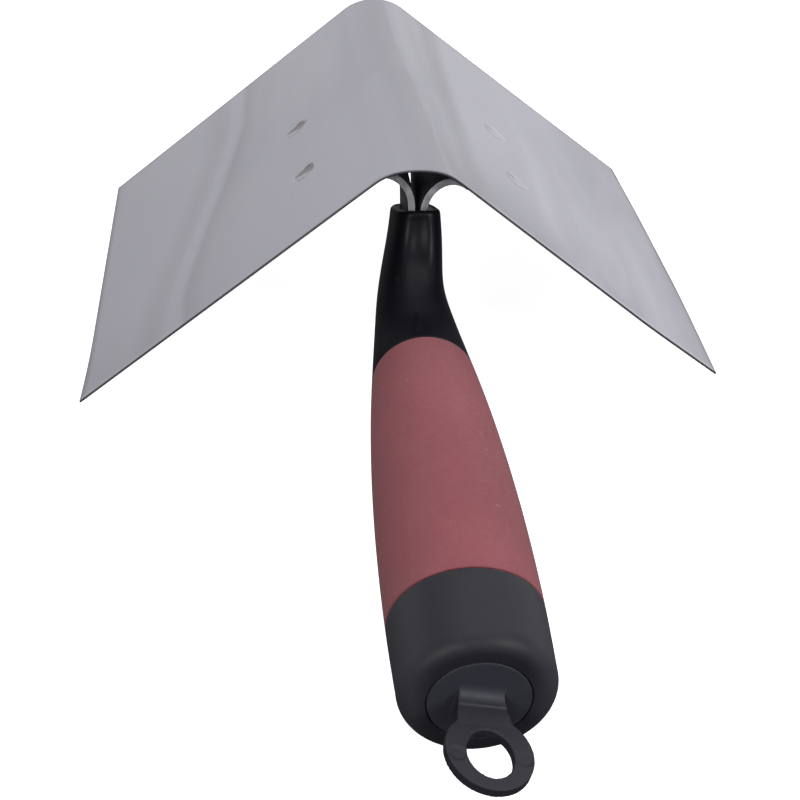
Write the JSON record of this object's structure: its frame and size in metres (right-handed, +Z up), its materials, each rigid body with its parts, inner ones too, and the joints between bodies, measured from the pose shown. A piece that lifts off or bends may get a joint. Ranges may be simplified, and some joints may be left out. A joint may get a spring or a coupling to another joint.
{
  "type": "inside corner trowel",
  "caption": "Inside corner trowel: sheet-steel blade bent to a rounded V, riveted twin-plate shank, soft-grip handle and a turning hanging loop at the butt.",
  "frame": {"origin": "on the bench at the centre of the tool's footprint, with the tool lying on its blade's two long edges and the handle's butt", "axes": "+Z up, out of the ridge; +Y forward along the ridge, away from the hand; +X to the right as seen from the handle"},
  "size_m": [0.1398, 0.236, 0.052],
  "materials": {
    "blade_steel": "satin",
    "shank_steel": "satin",
    "rivet_steel": "satin",
    "core_plastic": "semi-gloss",
    "grip_rubber": "matt",
    "plug_plastic": "matt"
  },
  "bodies": {
    "trowel": {"blade": "blade_steel", "shank_plate_left": "shank_steel", "shank_plate_right": "shank_steel", "rivet_left_rear": "rivet_steel", "rivet_left_front": "rivet_steel", "rivet_right_rear": "rivet_steel", "rivet_right_front": "rivet_steel", "handle_core": "core_plastic", "soft_grip": "grip_rubber"},
    "hanging_loop": {"hang_plug": "plug_plastic"}
  },
  "joints": [
    {"name": "loop_swivel", "type": "hinge", "parent": "trowel", "child": "hanging_loop", "pos_m": [0, -0.10059, 0.01232], "axis": [0, 0.9977, 0.068], "continuous": true}
  ]
}
